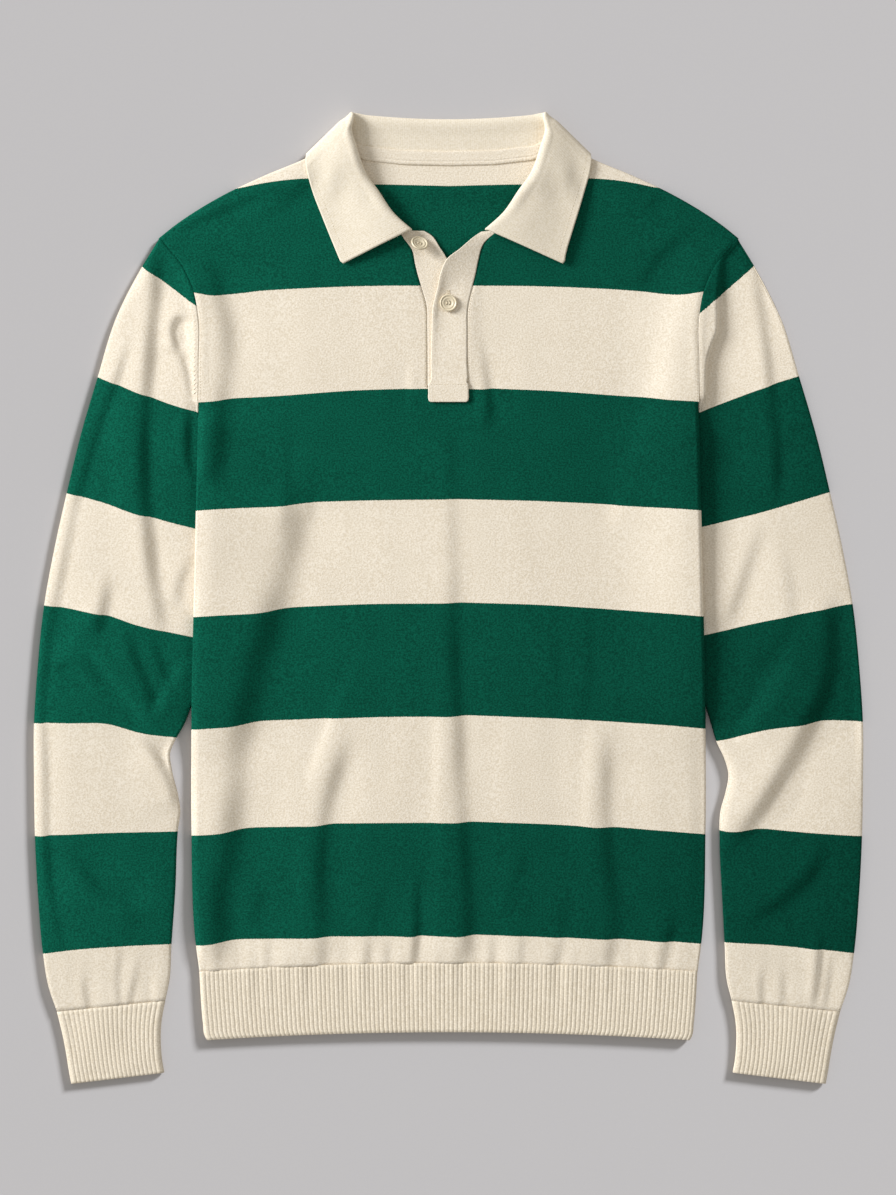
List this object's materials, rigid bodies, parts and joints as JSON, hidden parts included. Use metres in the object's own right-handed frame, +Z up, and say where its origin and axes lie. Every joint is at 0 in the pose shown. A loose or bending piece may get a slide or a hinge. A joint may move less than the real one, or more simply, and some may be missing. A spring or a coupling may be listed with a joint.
{
  "type": "long-sleeved rugby shirt",
  "caption": "Long-sleeved rugby shirt laid flat face up, in broad stripes, with a spread knit collar, a buttoned placket, and ribbed hem and cuffs.",
  "frame": {"origin": "middle of the shirt's footprint, on the surface that it lies on", "axes": "+X towards the viewer's right, which is the wearer's left; +Y towards the collar; +Z up off the surface, out of the shirt's front"},
  "size_m": [0.6804, 0.7978, 0.0153],
  "materials": {
    "striped_knit": "matte fine-gauge knit in bottle green and cream stripes",
    "cream_knit": "matte cream knit",
    "cream_rib": "matte cream rib knit",
    "button": "satin cream resin"
  },
  "bodies": {
    "root": {"body_front": "striped_knit", "body_back": "striped_knit", "sleeve_left": "striped_knit", "sleeve_right": "striped_knit", "cuff_left": "cream_rib", "cuff_right": "cream_rib", "hem_rib": "cream_rib", "collar": "cream_knit", "neck_tape": "cream_knit", "placket_under": "cream_knit", "placket_top": "cream_knit", "button_lower": "button", "button_top": "button"}
  },
  "joints": []
}
